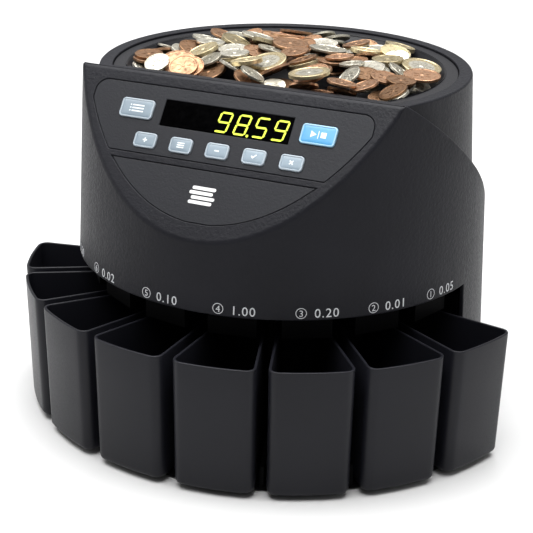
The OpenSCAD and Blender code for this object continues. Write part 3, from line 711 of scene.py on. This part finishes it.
def text_mesh(text, height, spacing=1.0):
    """Closed letters of the given height with their left end and base line at the origin."""
    curve = bpy.data.curves.new("text", "FONT")
    curve.body = text
    curve.size = height / CAPITAL
    curve.extrude = PRINT_HALF
    curve.space_character = spacing
    curve.resolution_u = 3
    obj = bpy.data.objects.new("text", curve)
    bpy.context.scene.collection.objects.link(obj)
    evaluated = obj.evaluated_get(bpy.context.evaluated_depsgraph_get())
    mesh = bpy.data.meshes.new_from_object(evaluated)
    bpy.data.objects.remove(obj)
    work = bmesh.new()
    work.from_mesh(mesh)
    bmesh.ops.remove_doubles(work, verts=work.verts, dist=TEXT_WELD)
    work.to_mesh(mesh)
    work.free()
    verts = [tuple(v.co) for v in mesh.vertices]
    faces = [tuple(p.vertices) for p in mesh.polygons]
    return verts, faces


def wrap(verts, angle, z):
    """Bends flat points round the body wall; their local x runs along it and z is the relief."""
    out = []
    for x, y, t in verts:
        height = z + y
        radius = wall_r(height) + PRINT_LIFT + t
        a = angle + x / wall_r(height)
        out.append((radius * math.sin(a) + AXIS.x, -radius * math.cos(a) + AXIS.y, height))
    return out


# cup: (angle of the ring from the front, value)
LABELS = {1: (67.3, "0.05"), 2: (48.6, "0.01"), 3: (29.3, "0.20"), 4: (7.9, "1.00"), 5: (-13.5, "0.10"),
          6: (-36.2, "0.02"), 7: (-57.6, "0.50"), 8: (-79.0, "2.00")}
LABEL_Z = 120.0
RING_IN, RING_OUT = 3.25, 3.7
NUMBER_H, VALUE_H = 4.6, 6.4
VALUE_SPACING = 1.12
VALUE_START = 8.6           # left end of the value, from the middle of the ring


def annulus(r_in, r_out, z1, z2, steps=36):
    rings = [at_z(circle(r, steps), z) for r, z in ((r_out, z1), (r_out, z2), (r_in, z2), (r_in, z1))]
    return Shells().loft(rings, closed=True)


def make_label(i, angle, value):
    parts = annulus(RING_IN, RING_OUT, -PRINT_HALF, PRINT_HALF)
    verts, faces = list(parts.verts), list(parts.faces)
    number, number_faces = text_mesh(str(i), NUMBER_H)
    middle = (min(v[0] for v in number) + max(v[0] for v in number)) / 2
    faces += [tuple(k + len(verts) for k in f) for f in number_faces]
    verts += [(x - middle, y - NUMBER_H / 2, t) for x, y, t in number]
    amount, amount_faces = text_mesh(value, VALUE_H, VALUE_SPACING)
    faces += [tuple(k + len(verts) for k in f) for f in amount_faces]
    verts += [(x + VALUE_START, y - VALUE_H / 2, t) for x, y, t in amount]
    piece(f"cup_label_{i}", wrap(verts, math.radians(angle), LABEL_Z), faces, "label", "housing",
          smooth=False)


for i, (angle, value) in LABELS.items():
    make_label(i, angle, value)


EMBLEM_PLACE = (-1.8, 81.0, -0.2)       # on the panel
EMBLEM_BAR = (17.0, 2.3, 1.1)           # width, height and corner radius
EMBLEM_SHIFTS = (0.0, 1.2, -0.8, 0.6)   # of each bar to the right, from the lowest one up
EMBLEM_LOW, EMBLEM_PITCH = -3.6, 3.3
EMBLEM_THICK = 0.06


def make_emblem():
    """A plain stack of four coins seen from the side."""
    art = Shells()
    for k, shift in enumerate(EMBLEM_SHIFTS):
        bar_points = [(x + shift, y + EMBLEM_LOW + EMBLEM_PITCH * k) for x, y in rounded(*EMBLEM_BAR)]
        art.prism(bar_points, 0.0, EMBLEM_THICK)
    art.make("coin_emblem", "white", "housing", panel_matrix(*EMBLEM_PLACE), smooth=False)


make_emblem()


# ---------- coins ----------

COIN_KINDS = {
    # name: (diameter, thickness, sides, petals, look, share)
    "copper_large": (25.9, 1.9, 0, 6, "copper", 26),
    "copper_small": (20.3, 1.65, 0, 5, "copper", 24),
    "silver_small": (18.0, 1.7, 0, 8, "silver", 9),
    "silver_large": (24.5, 1.85, 0, 12, "silver", 15),
    "silver_seven": (27.3, 1.8, 7, 7, "silver", 10),
    "silver_seven_small": (21.4, 1.7, 7, 7, "silver", 9),
    "gold": (22.5, 3.0, 0, 4, "gold", 11),
    "two_tone": (28.4, 2.5, 0, 8, "gold", 6),
}
CORE_SHARE = 0.66           # the two-tone coin's silver middle, as a share of its radius
COIN_COUNT = 1000           # coins dropped; those that would come to rest too high are left out
HEAP_R = 102.0
HEAP_FRONT = -52.0
HEAP_TOP = 240.5            # top of the heap's filled core, under the drawn coins
LIP_Z = 249.0               # height of the panel's lip that coins lean on
TOP_Z = 255.0               # highest point a coin's middle may reach, over the hopper's middle
TOP_FALL = 0.0005           # how much lower that is away from the middle, per distance squared
CORE_FALL = (0.0005, 0.0002)    # the same for the filled core, along X and Y
BOWL_FOOT = (50, 176)       # radius and height of the foot of the bowl's cone
BOWL_RISE = (62, 71.4)      # run and rise of that cone
MAP_HALF = 121
PLACES_TRIED = 5
HIGH_SHARE = 0.55           # a coin leans on the ground points above this quantile
TILT_SPREAD = 0.20
STEEPEST = 1.0              # slope
TOO_HIGH = 400.0            # worse than any score of a coin that lies low enough
FLATTENED = 0.034           # how much nearer the sides of a seven-sided coin are than its corners
BEADS, BEADS_KEPT = 11, 9   # beads in each half of a coin's ring, and those that are not left out


def coin_outline(diameter, sides, steps=44):
    """Round, or with sides, an equal-width rounded polygon."""
    points = []
    for k in range(steps):
        a = 2 * math.pi * k / steps
        r = diameter / 2
        if sides:
            part = 2 * math.pi / sides
            off = (a % part) - part / 2
            r *= 1 - FLATTENED * (1 - (2 * off / part) ** 2)
        points.append((r * math.cos(a), r * math.sin(a)))
    return points


def scaled(outline, share):
    return [(x * share, y * share) for x, y in outline]


def coin_blank(kind):
    """The coin's disc with a raised rim, a recess on each side and beads in it."""
    diameter, thick, sides = COIN_KINDS[kind][:3]
    r, half = diameter / 2, thick / 2
    profile = [(0.90, half - 0.28), (0.92, half), (0.985, half), (1.0, half - 0.15),
               (1.0, 0.15 - half), (0.985, -half), (0.92, -half), (0.90, 0.28 - half)]
    shells = Shells().loft([at_z(scaled(coin_outline(diameter, sides), s), z) for s, z in profile])
    for side in (-1, 1):
        for k in (k for k in range(2 * BEADS) if k % BEADS < BEADS_KEPT):
            a = 2 * math.pi * (k + 0.5) / (2 * BEADS)
            x, y = 0.76 * r * math.cos(a), 0.76 * r * math.sin(a)
            shells.loft([at_z(circle(s * r, 4, x, y), side * z)
                         for s, z in ((0.065, half - 0.40), (0.05, half - 0.10))])
    return shells


def coin_rosette(kind):
    """A plain rosette for the middle of both faces; on a two-tone coin it stands on a core."""
    diameter, thick, _, petals = COIN_KINDS[kind][:4]
    r, half = diameter / 2, thick / 2
    shells = Shells()
    if kind == "two_tone":
        shells.prism(circle(CORE_SHARE * r), 0.24 - half, half - 0.24)
    for side in (-1, 1):
        base, top = side * (half - 0.40), side * (half - 0.04)
        for k in range(petals):
            ca, sa = math.cos(2 * math.pi * k / petals), math.sin(2 * math.pi * k / petals)
            petal = [(r * (0.36 + 0.16 * math.cos(t)), 0.075 * r * math.sin(t) * (1 + 0.6 * math.cos(t)))
                     for t in (math.pi * j / 4 for j in range(8))]
            petal = [(ca * x - sa * y, sa * x + ca * y) for x, y in petal]
            shells.loft([at_z(petal, base), at_z(scaled(petal, 0.99), top)])
        shells.loft([at_z(circle(0.15 * r, 12), base), at_z(circle(0.11 * r, 12), top)])
    return shells


def settle_coins():
    """Drops coins one at a time on a height map in millimetres about the body's axis, and
    returns (kind, matrix, tone) rows. Each coin tries a few places and keeps the lowest."""
    rng = random.Random(11)
    cells = np.arange(-MAP_HALF, MAP_HALF + 1, dtype=float)
    xs, ys = np.meshgrid(cells, cells, indexing="ij")
    (foot_r, foot_z), (run, rise) = BOWL_FOOT, BOWL_RISE
    funnel = foot_z + (np.hypot(xs, ys) - foot_r) * rise / run
    fall_x, fall_y = CORE_FALL
    ground = np.maximum(HEAP_TOP - fall_y * ys ** 2 - fall_x * xs ** 2, funnel)
    ground[ys < HEAP_FRONT] = LIP_Z
    names = list(COIN_KINDS)
    shares = [COIN_KINDS[n][-1] for n in names]
    placed = []
    for _ in range(COIN_COUNT):
        kind = rng.choices(names, shares)[0]
        diameter, thick = COIN_KINDS[kind][:2]
        r = diameter / 2
        best = None
        for _ in range(PLACES_TRIED):
            angle, d = rng.uniform(0, 2 * math.pi), HEAP_R * math.sqrt(rng.random())
            x, y = d * math.cos(angle), d * math.sin(angle)
            if y < HEAP_FRONT + r * 0.8:
                continue
            inside = (xs - x) ** 2 + (ys - y) ** 2 < (r * 0.93) ** 2
            px, py, pz = xs[inside] - x, ys[inside] - y, ground[inside]
            high = pz > np.quantile(pz, HIGH_SHARE)
            points = np.c_[px[high], py[high], np.ones(high.sum())]
            slope = np.linalg.lstsq(points, pz[high], rcond=None)[0]
            sx, sy = slope[0] + rng.gauss(0, TILT_SPREAD), slope[1] + rng.gauss(0, TILT_SPREAD)
            steep = math.hypot(sx, sy)
            if steep > STEEPEST:
                sx, sy = sx * STEEPEST / steep, sy * STEEPEST / steep
            rest = float(np.max(pz - sx * px - sy * py))
            score = 0.5 * (rest - float(np.mean(pz))) + 0.8 * rest + 0.0004 * d * d
            if rest + 0.5 * steep * r > TOP_Z - TOP_FALL * d * d:
                score += TOO_HIGH
            if best is None or score < best[0]:
                best = (score, x, y, sx, sy, rest)
        if best is None or best[0] > TOO_HIGH:
            continue
        _, x, y, sx, sy, rest = best
        normal = Vector((-sx, -sy, 1)).normalized()
        lift = thick / normal.z
        inside = (xs - x) ** 2 + (ys - y) ** 2 < (r * 0.99) ** 2
        plane = rest + sx * (xs - x) + sy * (ys - y) + lift
        ground = np.where(inside, np.maximum(ground, plane), ground)
        spin = Matrix.Rotation(rng.uniform(0, 2 * math.pi), 3, "Z")
        turn = normal.to_track_quat("Z", "Y").to_matrix() @ spin
        centre = Vector((x, y, rest + lift / 2)) + AXIS
        placed.append((kind, Matrix.Translation(centre) @ turn.to_4x4(), rng.random()))
    return placed


def scatter(name, model, look, rows):
    """One mesh with a copy of the model at every row's place."""
    points = np.array(model.verts)
    verts, faces, tones = [], [], []
    for _, place, tone in rows:
        turn, move = np.array(place.to_3x3()), np.array(place.translation)
        faces += [tuple(k + len(verts) for k in f) for f in model.faces]
        verts += [tuple(p) for p in points @ turn.T + move]
        tones += [tone] * len(points)
    made = piece(name, verts, faces, look, "housing")
    made.data.attributes.new("coin_tone", "FLOAT", "POINT").data.foreach_set("value", tones)


def make_coins():
    rows = settle_coins()
    for kind in COIN_KINDS:
        look = COIN_KINDS[kind][4]
        same = [row for row in rows if row[0] == kind]
        blank, rosette = coin_blank(kind), coin_rosette(kind)
        if kind == "two_tone":
            scatter("coins_two_tone_cores", rosette, "silver", same)
        else:
            blank.faces += [tuple(k + len(blank.verts) for k in f) for f in rosette.faces]
            blank.verts += rosette.verts
        scatter(f"coins_{kind}", blank, look, same)


make_coins()
